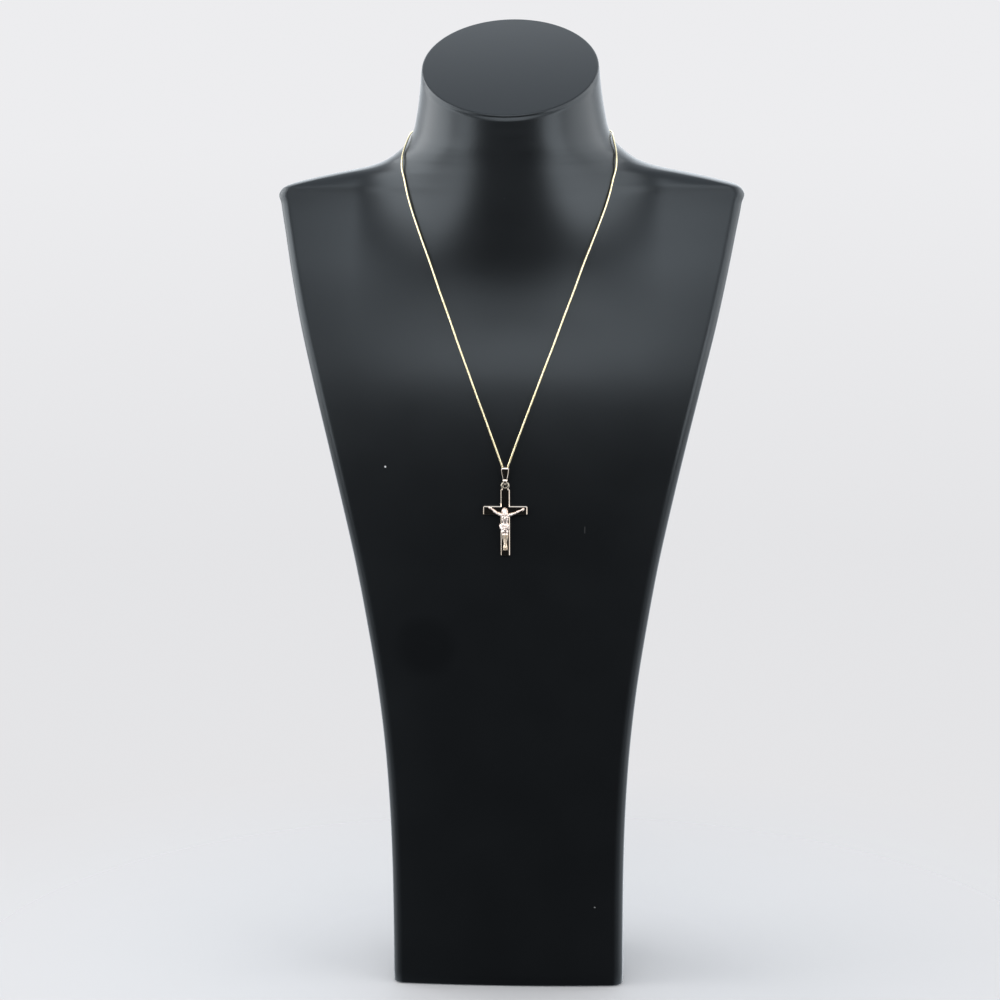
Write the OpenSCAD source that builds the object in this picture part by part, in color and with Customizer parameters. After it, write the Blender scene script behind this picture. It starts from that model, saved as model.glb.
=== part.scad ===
// Crucifix pendant on a fine snake chain, hung on a plain neck bust.
// The front faces -Y, up is +Z, and the bust stands on Z = 0.

/* [Bust] */
// Width of the base
base_w = 119.6; // [100:0.2:140]
// Depth of the base
base_d = 96; // [86:1:110]
// Width across the shoulders
shoulder_w = 240.4; // [210:0.2:270]
// Height of the shoulder corners
shoulder_z = 409; // [380:1:420]
// Height of the middle of the slanted neck top
neck_z = 473.3; // [455:0.5:500]
// Width of the neck top
neck_w = 91.4; // [84:0.2:96]
// Slant of the neck top, in degrees
neck_tilt = 32; // [20:1:34]
// Width of the neck's root where it rises from the chest
root_w = 160; // [140:2:180]
// Depth of the neck at its root
root_d = 87; // [80:1:92]
// How far the neck's front stands behind the base's front
chest_lean = 19; // [12:1:24]
// How far the shoulders' front stands behind the base's front
shoulder_lean = 44; // [38:1:48]
// How far the shoulders' back stands behind the base's back
back_lean = 10; // [4:1:16]
// How far the chest's front curves back at the shoulder ends
chest_sag = 10; // [6:1:14]
// How far the base's front curves back at its ends
base_sag = 3; // [1:0.5:5]
// Thickness of the bust at its side edges
edge_t = 14; // [12:1:18]
// Rounding of the front side edges
edge_r = 5; // [3:0.5:6]
// Rounding of the neck top's rim
rim_r = 1.2; // [0.6:0.1:2]
// Rounding of the base's bottom edge
foot_r = 1.5; // [0.8:0.1:2.5]

/* [Chain] */
// Diameter of the chain
chain_d = 1; // [0.8:0.05:1]
// Outer diameter of the clasp's ring
clasp_ring_d = 6; // [5:0.2:6.4]
// Thickness of the clasp's ring wire
clasp_wire_d = 1.1; // [0.9:0.1:1.3]
// Diameter of the chain's end caps on the clasp
cap_d = 1.7; // [1.5:0.1:2]
// Length of each end cap
cap_len = 3.2; // [2.8:0.1:4]

/* [Bail] */
// Height of the bail
bail_h = 9.3; // [9:0.1:10]
// Width of the bail at its widest
bail_w = 3.9; // [3.4:0.1:4.4]
// Width of the bail just above the lug
bail_waist_w = 1.9; // [1.5:0.05:2.2]
// Width of the bail's crest between the chain's two legs
crest_w = 1.5; // [1.1:0.05:1.55]
// Width of the tongue that passes through the lug's eye
tongue_w = 0.9; // [0.7:0.05:1]
// Thickness of the bail's strip
strip_t = 0.3; // [0.25:0.01:0.35]

/* [Cross] */
// Length of the upright
post_len = 34.2; // [30:0.1:38]
// Width of the upright
post_w = 4.6; // [4.2:0.05:5.4]
// Width across the arms
arms_w = 22.4; // [20:0.1:26]
// Height of the arms
arm_h = 4.45; // [4:0.05:5]
// From the top of the upright to the middle of the arms
arms_drop = 10.95; // [9:0.05:13]
// Thickness of the cross
plate_t = 1.2; // [1:0.05:1.25]
// Width of the bevel round the rim
rim_bevel = 0.4; // [0.3:0.05:0.45]
// Radius of the corners seen from the front
corner_r = 0.7; // [0.5:0.05:1]
// Diameter of the round lug on top
lug_d = 4.3; // [4.1:0.1:4.8]
// Width of the foot that joins the lug to the upright
lug_foot_w = 3.4; // [3:0.1:3.8]
// Diameter of the lug's eye
eye_d = 1.8; // [1.75:0.05:2]
// From the top of the upright to the middle of the eye
eye_rise = 1.7; // [1.5:0.05:1.9]

/* [Figure] */
// Height of the figure from feet to crown
figure_h = 21.6; // [20:0.1:23]

/* [Hidden] */

// Gap between metal pieces that lie on each other
seat_gap = 0.05;
// Gap between the bust and what rests on it
rest_gap = 0.3;
// Free room on each side of the plate inside the bail
bail_play = 0.25;
// Free room round the tongue in the eye
tongue_gap = 0.08;
// Width of the countersink round the eye
eye_sink = 0.3;
// How far the figure stands out from the plate, as a share of its height
figure_out = 0.125;

front_y = -base_d / 2;

// Chain's route from the bail round the right of the neck to the clasp, chosen by hand.
// Y is counted back from the front of the base.
ROUTE = [
    [0, -0.9, 272],
    [0.55, -0.9, 272.1],
    [1.05, -0.9, 272.5],
    [1.4, -0.9, 273.2],
    [1.65, -0.9, 274.1],
    [2.45, -0.7, 276.4],
    [4.1, -0.2, 281],
    [9.1, 1.8, 294.5],
    [14.2, 4.1, 308],
    [19.5, 7.4, 322],
    [24.5, 11, 335],
    [29.1, 14.4, 347.5],
    [34.4, 18.3, 361.5],
    [39.1, 22.1, 374.5],
    [44.4, 27.3, 388],
    [49.8, 33.4, 402.5],
    [51.9, 36.4, 409.5],
    [53.4, 38.9, 416],
    [54.8, 41.2, 421.5],
    [55, 44.3, 426.5],
    [54.5, 49.6, 431],
    [53.4, 55.5, 435],
    [52.7, 60.4, 437.5],
    [52.2, 69.4, 439],
    [49.8, 78.4, 439.5],
    [45.3, 86.8, 439.5],
    [39.5, 93.7, 439],
    [32.5, 99.2, 438],
    [24.6, 103.2, 436.7],
    [16.5, 105.9, 435.5],
    [11, 107.4, 435],
    [7.4, 108.1, 434.7],
    [5.9, 108.1, 434.6]
];

// Columns: height as a share of shoulder_z, widening from base to shoulder,
// chest lean, shoulder lean, back lean, each as a share of its named size
TORSO = [
    [0.00, 0.000, 0.000, 0.000, 0.00],
    [0.08, 0.000, 0.000, 0.000, 0.00],
    [0.15, 0.005, 0.000, 0.000, 0.00],
    [0.23, 0.023, 0.000, 0.000, 0.00],
    [0.31, 0.060, 0.000, 0.000, 0.01],
    [0.39, 0.122, 0.000, 0.000, 0.03],
    [0.47, 0.208, 0.000, 0.000, 0.06],
    [0.54, 0.294, 0.000, 0.000, 0.10],
    [0.62, 0.412, 0.015, 0.006, 0.16],
    [0.69, 0.524, 0.100, 0.043, 0.25],
    [0.77, 0.659, 0.350, 0.153, 0.40],
    [0.84, 0.778, 0.740, 0.343, 0.60],
    [0.90, 0.868, 0.960, 0.560, 0.78],
    [0.95, 0.938, 1.000, 0.790, 0.92],
    [0.985, 0.986, 1.000, 0.945, 0.99],
    [1.00, 1.000, 1.000, 1.000, 1.00]
];
// Columns: height as a share of the way from shoulder_z to neck_z, widening from neck to
// shoulder, roundness, slant as a share of neck_tilt, depth from root to top, shoulder lean
NECK = [
    [0.049, 0.949, 0.01, 0.00, 0.02, 1.02],
    [0.098, 0.793, 0.05, 0.00, 0.04, 1.05],
    [0.145, 0.605, 0.12, 0.00, 0.07, 1.08],
    [0.194, 0.397, 0.22, 0.01, 0.10, 1.10],
    [0.235, 0.289, 0.33, 0.03, 0.14, 1.12],
    [0.283, 0.215, 0.46, 0.06, 0.19, 1.13],
    [0.332, 0.162, 0.60, 0.11, 0.25, 1.14],
    [0.381, 0.117, 0.77, 0.17, 0.32, 1.14],
    [0.474, 0.071, 1.00, 0.31, 0.45, 1.14],
    [0.620, 0.040, 1.00, 0.53, 0.63, 1.14],
    [0.814, 0.015, 1.00, 0.81, 0.83, 1.14],
    [1.000, 0.000, 1.00, 1.00, 1.00, 1.14]
];

function mix(a, b, share) = a + (b - a) * share;

// A section: height, half-width, front at the middle, front at the sides, back, front
// sag, roundness, slant. The front and back of a slanted section are in its own plane.
function torso_section(row) =
    [row[0] * shoulder_z,
     mix(base_w, shoulder_w, row[1]) / 2,
     front_y + chest_lean * row[2],
     front_y + shoulder_lean * row[3],
     base_d / 2 + back_lean * row[4],
     mix(base_sag, chest_sag, row[1]),
     0,
     0];
function neck_section(row) =
    let (slant = neck_tilt * row[3],
         half_d = mix(root_d, neck_w, row[4]) / 2,
         mid_y = front_y + chest_lean + half_d * cos(slant))
    [mix(shoulder_z, neck_z, row[0]),
     mix(neck_w, shoulder_w, row[1]) / 2,
     mid_y - half_d,
     front_y + shoulder_lean * row[5],
     mid_y + half_d,
     chest_sag,
     row[2],
     slant];
SECTIONS = concat([for (row = TORSO) torso_section(row)],
                  [for (row = NECK) neck_section(row)]);
LAST = len(SECTIONS) - 1;

// Shift that centres everything front to back on Y = 0
neck_back = max([for (s = SECTIONS) mix(s[2], s[4], (1 + cos(s[7])) / 2)]);
box_front = front_y - rest_gap - plate_t - seat_gap - figure_out * figure_h;
box_back = max(neck_back, front_y + ROUTE[len(ROUTE) - 1][1] + cap_d / 2);
shift_y = -(box_front + box_back) / 2;

// Where the chain's lowest point and the pendant's plane lie
hang = ROUTE[0];
pendant_y = front_y - rest_gap - plate_t / 2 + shift_y;
plate_front = pendant_y - plate_t / 2;
bail_in = plate_t / 2 + bail_play;
bail_out = bail_in + strip_t;
crest_z = hang[2] + chain_d / 2 + 0.625 + strip_t;
tongue_rise = sqrt(pow(eye_d / 2 - tongue_gap, 2) - pow(tongue_w / 2, 2));
eye_z = crest_z - bail_h + strip_t - tongue_rise;
post_top = eye_z - eye_rise;
arms_z = post_top - arms_drop;
feet_z = arms_z - 0.955 * figure_h;

// Smooth curve through the sections, with each section's height as its knot
function rise(i) = SECTIONS[i + 1][0] - SECTIONS[i][0];
function step(i) = (SECTIONS[i + 1] - SECTIONS[i]) / rise(i);
function slope(i) =
    i == 0 ? step(0) :
    i == LAST ? step(LAST - 1) :
    (step(i - 1) * rise(i) + step(i) * rise(i - 1)) / (rise(i - 1) + rise(i));
function between(i, u) =
    SECTIONS[i] * (2 * u * u * u - 3 * u * u + 1)
    + slope(i) * rise(i) * (u * u * u - 2 * u * u + u)
    + SECTIONS[i + 1] * (3 * u * u - 2 * u * u * u)
    + slope(i + 1) * rise(i) * (u * u * u - u * u);

// Front and back of a section at x, as shares of the way across
function bump(u) = abs(u) < 1 ? (1 - u * u) * (1 - u * u) : 0;
function bow(x, w) = sqrt(max(0, 1 - x * x / (w * w)));
function corner(x, w) =
    let (over = max(0, abs(x) - (w - edge_r)))
    edge_r - sqrt(max(0, edge_r * edge_r - over * over));
function flat_front(s, x) =
    s[3] + s[5] * x * x / (s[1] * s[1]) - (s[3] - s[2]) * bump(2 * x / root_w);
function edge_back(s) = flat_front(s, s[1]) + edge_t;
function flat_back(s, x) = mix(edge_back(s), s[4], bow(x, s[1]));
function round_y(s, x, side) = (s[2] + s[4]) / 2 + side * (s[4] - s[2]) / 2 * bow(x, s[1]);
function side_y(s, x, side) =
    side < 0
    ? mix(flat_front(s, x) + corner(x, s[1]), round_y(s, x, -1), s[6])
    : mix(flat_back(s, x), round_y(s, x, 1), s[6]);

// One ring of points: inset draws it in, and sink lowers it square to its own plane
RING = 60;
function place(s, x, y, sink) =
    let (mid = (s[2] + s[4]) / 2,
         c = cos(s[7]),
         n = sin(s[7]))
    [x, mid + (y - mid) * c + sink * n + shift_y, s[0] + (y - mid) * n - sink * c];
function ring(s, inset, sink) =
    let (mid = (s[2] + s[4]) / 2)
    [for (k = [0:RING - 1])
        let (a = 360 * k / RING,
             side = sin(a) > 0 ? 1 : -1,
             x = s[1] * cos(a),
             y = side_y(s, x, side))
        place(s, x * (1 - inset / s[1]), mid + (y - mid) * (1 - 2 * inset / (s[4] - s[2])), sink)];

function all_rings() = concat(
    [for (a = [0, 30, 60]) ring(SECTIONS[0], foot_r * (1 - sin(a)), -foot_r * (1 - cos(a)))],
    [for (i = [0:LAST - 1]) for (u = [0, 0.5]) if (i + u > 0) ring(between(i, u), 0, 0)],
    [for (a = [0, 30, 60, 90]) ring(SECTIONS[LAST], rim_r * (1 - cos(a)), rim_r * (1 - sin(a)))]
);

// Skin between rings, closed by a flat face at each end
module loft(rings) {
    n = len(rings[0]);
    count = len(rings);
    points = [for (r = rings) for (p = r) p];
    sides = [for (i = [0:count - 2]) for (k = [0:n - 1])
        [i * n + k, (i + 1) * n + k, (i + 1) * n + (k + 1) % n, i * n + (k + 1) % n]];
    foot = [for (k = [0:n - 1]) k];
    top = [for (k = [0:n - 1]) (count - 1) * n + n - 1 - k];
    polyhedron(points, concat(sides, [foot], [top]), convexity = 6);
}

module bust() {
    color([0.09, 0.1, 0.11]) loft(all_rings());
}

// The chain: one eight-sided tube through the whole route, left half mirrored
function mirrored(p) = [-p[0], p[1], p[2]];
PATH = [for (p = concat([for (i = [len(ROUTE) - 1:-1:1]) mirrored(ROUTE[i])], ROUTE))
    [p[0], p[1] + front_y + shift_y, p[2]]];
SIDES = 8;
function unit(v) = v / norm(v);
function heading(i) =
    unit(PATH[min(i + 1, len(PATH) - 1)] - PATH[max(i - 1, 0)]);
function chain_ring(i) =
    let (along = heading(i),
         up = abs(along[1]) > 0.9 ? [0, 0, 1] : [0, 1, 0],
         across = unit(cross(along, up)),
         over = cross(along, across))
    [for (k = [0:SIDES - 1])
        PATH[i] + chain_d / 2 * (cos(360 * k / SIDES) * across + sin(360 * k / SIDES) * over)];

module chain() {
    color("gold") loft([for (i = [0:len(PATH) - 1]) chain_ring(i)]);
}

// A round bar from one point to another
module bar(from, to, d) {
    way = to - from;
    translate(from)
        rotate([0, acos(way[2] / norm(way)), atan2(way[1], way[0])])
            cylinder(d = d, h = norm(way), $fn = 32);
}

// Ring clasp behind the neck, with a drilled cap on each end of the chain
module clasp() {
    end = PATH[len(PATH) - 1];
    before = PATH[len(PATH) - 2];
    out = unit(before - end);
    ring_r = (clasp_ring_d - clasp_wire_d) / 2;
    depth = cap_len * 0.45;
    color("gold") difference() {
        union() {
            translate([0, end[1], end[2]])
                rotate([90, 0, 0])
                    rotate_extrude($fn = 64)
                        translate([ring_r, 0]) circle(d = clasp_wire_d, $fn = 32);
            for (side = [-1, 1]) {
                shut = [side * end[0], end[1], end[2]];
                way = [side * out[0], out[1], out[2]];
                bar(shut - way * (cap_len - depth), shut + way * depth, cap_d);
                bar([side * ring_r, end[1], end[2]], shut, cap_d * 0.6);
            }
        }
        for (side = [-1, 1]) {
            shut = [side * end[0], end[1], end[2]];
            way = [side * out[0], out[1], out[2]];
            bar(shut - way * seat_gap, shut + way * (depth + 1), chain_d + 2 * seat_gap);
        }
    }
}

// Side profile of the bail's folded strip: round over the chain, square round the lug
module bail_profile(half, low, r) {
    top = crest_z - bail_out;
    translate([0, top]) circle(r = half, $fn = 64);
    translate([-half, low + r]) square([2 * half, top - low - r]);
    translate([-half + r, low]) square([2 * (half - r), top - low]);
    for (side = [-1, 1])
        translate([side * (half - r), low + r]) circle(r = r, $fn = 48);
}

// Front outline of the bail, heights from the crest down
module bail_outline() {
    low = crest_z - bail_h;
    half = [
        [crest_w / 2, crest_z + 1],
        [crest_w / 2, crest_z - 0.5],
        [bail_w / 2 - 0.3, crest_z - 0.8],
        [bail_w / 2, crest_z - 1],
        [bail_w / 2 - 0.05, crest_z - 1.8],
        [bail_waist_w / 2, low + 1.9],
        [tongue_w / 2, low + 0.9],
        [tongue_w / 2, low - 1]
    ];
    polygon(concat(half, [for (i = [len(half) - 1:-1:0]) [-half[i][0], half[i][1]]]));
}

module bail() {
    low = crest_z - bail_h;
    color("gold") translate([0, pendant_y, 0]) intersection() {
        rotate([90, 0, 90]) linear_extrude(2 * bail_w, center = true)
            difference() {
                bail_profile(bail_out, low, strip_t + 0.2);
                bail_profile(bail_in, low + strip_t, 0.2);
            }
        rotate([90, 0, 0]) linear_extrude(4 * bail_out, center = true) bail_outline();
    }
}

// A flat bar w wide and h high with round corners and a bevel round both faces
module bevelled(w, h) {
    intersection() {
        rotate([90, 0, 0]) linear_extrude(plate_t, center = true) {
            square([w - 2 * corner_r, h], center = true);
            square([w, h - 2 * corner_r], center = true);
            for (x = [-1, 1], z = [-1, 1])
                translate([x * (w / 2 - corner_r), z * (h / 2 - corner_r)])
                    circle(r = corner_r, $fn = 48);
        }
        linear_extrude(h + 1, center = true) bevel_section(w);
        rotate([0, 90, 0]) linear_extrude(w + 1, center = true) bevel_section(h);
    }
}
module bevel_section(w) {
    a = w / 2;
    b = plate_t / 2;
    polygon([[-a, -b + rim_bevel], [-a + rim_bevel, -b], [a - rim_bevel, -b], [a, -b + rim_bevel],
             [a, b - rim_bevel], [a - rim_bevel, b], [-a + rim_bevel, b], [-a, b - rim_bevel]]);
}

// Round lug with a countersunk eye; its axis runs front to back
module lug() {
    r = lug_d / 2;
    b = plate_t / 2;
    rotate([90, 0, 0]) rotate_extrude($fn = 96)
        polygon([[0, -b], [r - rim_bevel, -b], [r, -b + rim_bevel],
                 [r, b - rim_bevel], [r - rim_bevel, b], [0, b]]);
}
module eye() {
    r = eye_d / 2;
    b = plate_t / 2;
    rotate([90, 0, 0]) {
        cylinder(r = r, h = plate_t + 2, center = true, $fn = 64);
        for (turn = [0, 180])
            rotate([turn, 0, 0]) translate([0, 0, b - eye_sink])
                cylinder(r1 = r, r2 = r + eye_sink * 2, h = eye_sink * 2, $fn = 64);
    }
}

module cross() {
    foot_low = post_top - 2 * rim_bevel;
    foot_top = eye_z - 0.2 * lug_d;
    color("goldenrod") translate([0, pendant_y, 0]) difference() {
        union() {
            translate([0, 0, post_top - post_len / 2]) bevelled(post_w, post_len);
            translate([0, 0, arms_z]) bevelled(arms_w, arm_h);
            translate([0, 0, eye_z]) lug();
            translate([0, 0, foot_low]) linear_extrude(foot_top - foot_low) bevel_section(lug_foot_w);
        }
        translate([0, 0, eye_z]) eye();
    }
}

// The figure's named points: across, out from the plate, up from the soles, radius,
// all as shares of figure_h
LEFT_ARM = [
    [-0.075, 0.045, 0.848, 0.033],
    [-0.130, 0.044, 0.868, 0.027],
    [-0.199, 0.040, 0.896, 0.023],
    [-0.265, 0.032, 0.950, 0.021],
    [-0.332, 0.024, 1.010, 0.014]
];
LEFT_HAND = [
    [-0.332, 0.024, 1.010, 0.014],
    [-0.350, 0.020, 1.026, 0.020],
    [-0.372, 0.016, 1.024, 0.012]
];
RIGHT_ARM = [
    [0.066, 0.045, 0.838, 0.033],
    [0.130, 0.044, 0.856, 0.027],
    [0.235, 0.040, 0.893, 0.022],
    [0.315, 0.032, 0.936, 0.020],
    [0.392, 0.024, 0.974, 0.014]
];
RIGHT_HAND = [
    [0.392, 0.024, 0.974, 0.014],
    [0.414, 0.020, 0.984, 0.020],
    [0.436, 0.016, 0.976, 0.012]
];
LEFT_LEG = [
    [-0.062, 0.046, 0.570, 0.044],
    [-0.046, 0.066, 0.460, 0.040],
    [-0.032, 0.086, 0.388, 0.034],
    [-0.028, 0.058, 0.310, 0.034],
    [-0.012, 0.054, 0.165, 0.019]
];
LEFT_FOOT = [
    [-0.012, 0.054, 0.164, 0.020],
    [-0.024, 0.062, 0.100, 0.021],
    [-0.026, 0.044, 0.022, 0.020]
];
RIGHT_LEG = [
    [0.040, 0.044, 0.570, 0.042],
    [0.034, 0.058, 0.460, 0.039],
    [0.031, 0.076, 0.388, 0.033],
    [0.028, 0.048, 0.310, 0.033],
    [0.013, 0.042, 0.165, 0.019]
];
RIGHT_FOOT = [
    [0.013, 0.042, 0.164, 0.020],
    [0.024, 0.050, 0.100, 0.021],
    [0.026, 0.034, 0.022, 0.020]
];
// Sections of the trunk and the cloth: left edge, right edge, out, up, radius
TRUNK = [
    [-0.102, 0.094, 0.044, 0.846, 0.030],
    [-0.092, 0.086, 0.052, 0.800, 0.037],
    [-0.080, 0.076, 0.048, 0.740, 0.037],
    [-0.068, 0.066, 0.042, 0.685, 0.034],
    [-0.078, 0.070, 0.044, 0.630, 0.034]
];
CLOTH = [
    [-0.118, 0.088, 0.050, 0.638, 0.030],
    [-0.142, 0.102, 0.058, 0.595, 0.044],
    [-0.132, 0.092, 0.066, 0.540, 0.050],
    [-0.110, 0.070, 0.070, 0.496, 0.040]
];
// Head, from the middle of the skull: across, out, up, radius, as shares of the head
HEAD_SHARE = 0.165;
HEAD_AT = [-0.012, 0.050, 0.928];
SKULL = [
    [0, -0.04, 0.14, 0.33],
    [0, 0.06, -0.06, 0.27],
    [0, 0.13, -0.30, 0.12]
];
HAIR = [
    [0.06, -0.10, 0.20, 0.33],
    [0.26, -0.06, 0.02, 0.17],
    [0.30, -0.04, -0.28, 0.13],
    [0.27, 0.00, -0.52, 0.08]
];
BEARD = [
    [0.13, 0.12, -0.24, 0.09],
    [0.06, 0.20, -0.36, 0.08],
    [0.00, 0.20, -0.46, 0.06]
];
BROW = [
    [0.18, 0.22, 0.06, 0.035],
    [0.05, 0.29, 0.07, 0.040]
];
NOSE = [
    [0, 0.30, 0.06, 0.030],
    [0, 0.37, -0.09, 0.050]
];
LID = [
    [0.15, 0.24, 0.00, 0.030],
    [0.08, 0.27, -0.01, 0.040]
];
LIPS = [
    [0.06, 0.27, -0.19, 0.030],
    [0.00, 0.30, -0.19, 0.035]
];

// Ball at a named point, and a run of balls joined pair by pair
module ball(p) {
    translate([p[0], -p[1], p[2]]) sphere(r = p[3], $fn = 10);
}
module limb(points) {
    for (i = [0:len(points) - 2])
        hull() {
            ball(points[i]);
            ball(points[i + 1]);
        }
}
module section(s) {
    ball([s[0] + s[4], s[2], s[3], s[4]]);
    ball([s[1] - s[4], s[2], s[3], s[4]]);
}
module trunk(sections) {
    for (i = [0:len(sections) - 2])
        hull() {
            section(sections[i]);
            section(sections[i + 1]);
        }
}
module both(points) {
    limb(points);
    limb([for (p = points) [-p[0], p[1], p[2], p[3]]]);
}

module head() {
    limb(SKULL);
    both(HAIR);
    both(BEARD);
    both(BROW);
    both(LID);
    both(LIPS);
    limb(NOSE);
}

module figure() {
    color([0.9, 0.75, 0.65])
        translate([0, plate_front - seat_gap, feet_z]) scale(figure_h) intersection() {
            union() {
                for (run = [LEFT_ARM, LEFT_HAND, RIGHT_ARM, RIGHT_HAND,
                            LEFT_LEG, LEFT_FOOT, RIGHT_LEG, RIGHT_FOOT])
                    limb(run);
                trunk(TRUNK);
                trunk(CLOTH);
                translate([HEAD_AT[0], -HEAD_AT[1], HEAD_AT[2]])
                    rotate([14, -8, 0]) scale(HEAD_SHARE) head();
            }
            translate([-1, -figure_out, -1]) cube([2, figure_out, 3]);
        }
}

bust();
chain();
clasp();
bail();
cross();
figure();
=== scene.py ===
"""Looks of a crucifix pendant on a snake chain, hung on a black neck bust.

Blender works in metres; names that end in _MM, and the tables they scale, are millimetres as
in part.scad. The front faces -Y.
"""

import math

import bpy
import numpy as np
from mathutils import Matrix, Vector


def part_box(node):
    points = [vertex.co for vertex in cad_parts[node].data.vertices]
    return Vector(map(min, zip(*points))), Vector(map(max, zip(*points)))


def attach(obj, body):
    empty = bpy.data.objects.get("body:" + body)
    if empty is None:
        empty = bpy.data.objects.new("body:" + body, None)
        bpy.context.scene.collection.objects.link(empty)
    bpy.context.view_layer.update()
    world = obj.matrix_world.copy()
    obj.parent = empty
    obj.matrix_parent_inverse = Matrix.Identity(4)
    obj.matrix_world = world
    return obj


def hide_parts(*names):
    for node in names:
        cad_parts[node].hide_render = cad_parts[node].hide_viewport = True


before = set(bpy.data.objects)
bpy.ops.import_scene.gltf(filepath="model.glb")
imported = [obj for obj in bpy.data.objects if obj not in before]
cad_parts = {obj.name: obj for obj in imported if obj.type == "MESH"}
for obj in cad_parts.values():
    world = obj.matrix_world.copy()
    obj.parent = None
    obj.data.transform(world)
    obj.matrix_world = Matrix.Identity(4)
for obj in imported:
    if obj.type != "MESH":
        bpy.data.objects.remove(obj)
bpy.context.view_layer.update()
MM = 0.001


# Camera: one long lens, a little above the pendant and turned to the bust's left

CAMERA_DISTANCE = 1.6
CAMERA_TARGET = Vector((-0.0059, 0.0, 0.248))
CAMERA_PITCH = math.radians(9.0)
CAMERA_YAW = math.radians(3.5)
CAMERA_ROLL = math.radians(-0.25)
LENS_MM = 109.8


def make_camera():
    data = bpy.data.cameras.new("camera")
    data.sensor_width = 36.0
    data.lens = LENS_MM
    camera = bpy.data.objects.new("camera", data)
    bpy.context.scene.collection.objects.link(camera)
    forward = Vector((
        -math.sin(CAMERA_YAW) * math.cos(CAMERA_PITCH),
        math.cos(CAMERA_YAW) * math.cos(CAMERA_PITCH),
        -math.sin(CAMERA_PITCH),
    ))
    turn = forward.to_track_quat("-Z", "Y").to_matrix() @ Matrix.Rotation(CAMERA_ROLL, 3, "Z")
    camera.location = CAMERA_TARGET - forward * CAMERA_DISTANCE
    camera.rotation_euler = turn.to_euler()
    bpy.context.scene.camera = camera


make_camera()


# Node helpers

def new_material(name):
    material = bpy.data.materials.new(name)
    material.use_nodes = True
    return material, material.node_tree, material.node_tree.nodes["Principled BSDF"]


def add_node(tree, kind, **values):
    node = tree.nodes.new(kind)
    for key, value in values.items():
        if key in node.inputs:
            node.inputs[key].default_value = value
        else:
            setattr(node, key, value)
    return node


def ramp(tree, source, low, high, out_low, out_high):
    node = add_node(tree, "ShaderNodeMapRange")
    tree.links.new(source, node.inputs["Value"])
    node.inputs["From Min"].default_value = low
    node.inputs["From Max"].default_value = high
    node.inputs["To Min"].default_value = out_low
    node.inputs["To Max"].default_value = out_high
    return node.outputs["Result"]


def mix_colour(tree, share, a, b):
    node = add_node(tree, "ShaderNodeMix", data_type="RGBA")
    tree.links.new(share, node.inputs["Factor"])
    for socket, value in (("A", a), ("B", b)):
        target = [i for i in node.inputs if i.name == socket and i.type == "RGBA"][0]
        if isinstance(value, tuple):
            target.default_value = (*value, 1.0)
        else:
            tree.links.new(value, target)
    return [o for o in node.outputs if o.type == "RGBA"][0]


def maths(tree, operation, a, b):
    node = add_node(tree, "ShaderNodeMath", operation=operation)
    for socket, value in zip(node.inputs, (a, b)):
        if isinstance(value, (int, float)):
            socket.default_value = value
        else:
            tree.links.new(value, socket)
    return node.outputs[0]


def object_point(tree):
    return add_node(tree, "ShaderNodeTexCoord").outputs["Object"]


def noise(tree, scale, detail=2.0, point=None):
    node = add_node(tree, "ShaderNodeTexNoise", Scale=scale, Detail=detail)
    tree.links.new(point or object_point(tree), node.inputs["Vector"])
    return node.outputs["Fac"]


def bump(tree, shader, height, strength, distance):
    node = add_node(tree, "ShaderNodeBump", Strength=strength, Distance=distance)
    tree.links.new(height, node.inputs["Height"])
    tree.links.new(node.outputs["Normal"], shader.inputs["Normal"])


# Materials

RESIN = (0.0045, 0.0050, 0.0058)
RESIN_SHEEN = (0.82, 0.92, 1.0)
RESIN_ROUGHNESS = (0.32, 0.36)
# Noise scales, in waves to a metre
RESIN_CLOUDS, RESIN_GRAIN = 26.0, 900.0
GOLD_CLOUDS, GOLD_RIPPLES, GOLD_WEAR = 420.0, 700.0, 2600.0
RESIN_DUST = (0.85, 0.86, 0.88)
# Dust specks seen on the bust's front: x, z and radius in mm, and how much they show
SPECKS = [
    (-61.4, 272.5, 0.60, 0.72),
    (45.4, 42.7, 0.50, 0.23),
    (-1.0, 407.6, 0.40, 0.02),
]
# A fine scratch: from x, z to x, z in mm, half-width, and how much it shows
SCRATCHES = [
    (40.2, 239.2, 40.3, 242.6, 0.35, 0.035),
]
# A faint patch rubbed smoother on the bust's front: x, z and radius in mm
RUB = (-41.5, 180.0, 18.0)
RUB_SMOOTHER = 0.05


def spot_mask(tree, x_mm, z_mm, radius_mm):
    """1 inside a round spot on the bust's front, 0 outside."""
    split = add_node(tree, "ShaderNodeSeparateXYZ")
    tree.links.new(object_point(tree), split.inputs[0])
    across = maths(tree, "SUBTRACT", split.outputs["X"], x_mm * MM)
    up = maths(tree, "SUBTRACT", split.outputs["Z"], z_mm * MM)
    square = maths(tree, "ADD", maths(tree, "MULTIPLY", across, across),
                   maths(tree, "MULTIPLY", up, up))
    near = ramp(tree, maths(tree, "SQRT", square, 0.0),
                0.6 * radius_mm * MM, radius_mm * MM, 1.0, 0.0)
    return maths(tree, "MULTIPLY", near, maths(tree, "LESS_THAN", split.outputs["Y"], 0.0))


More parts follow.
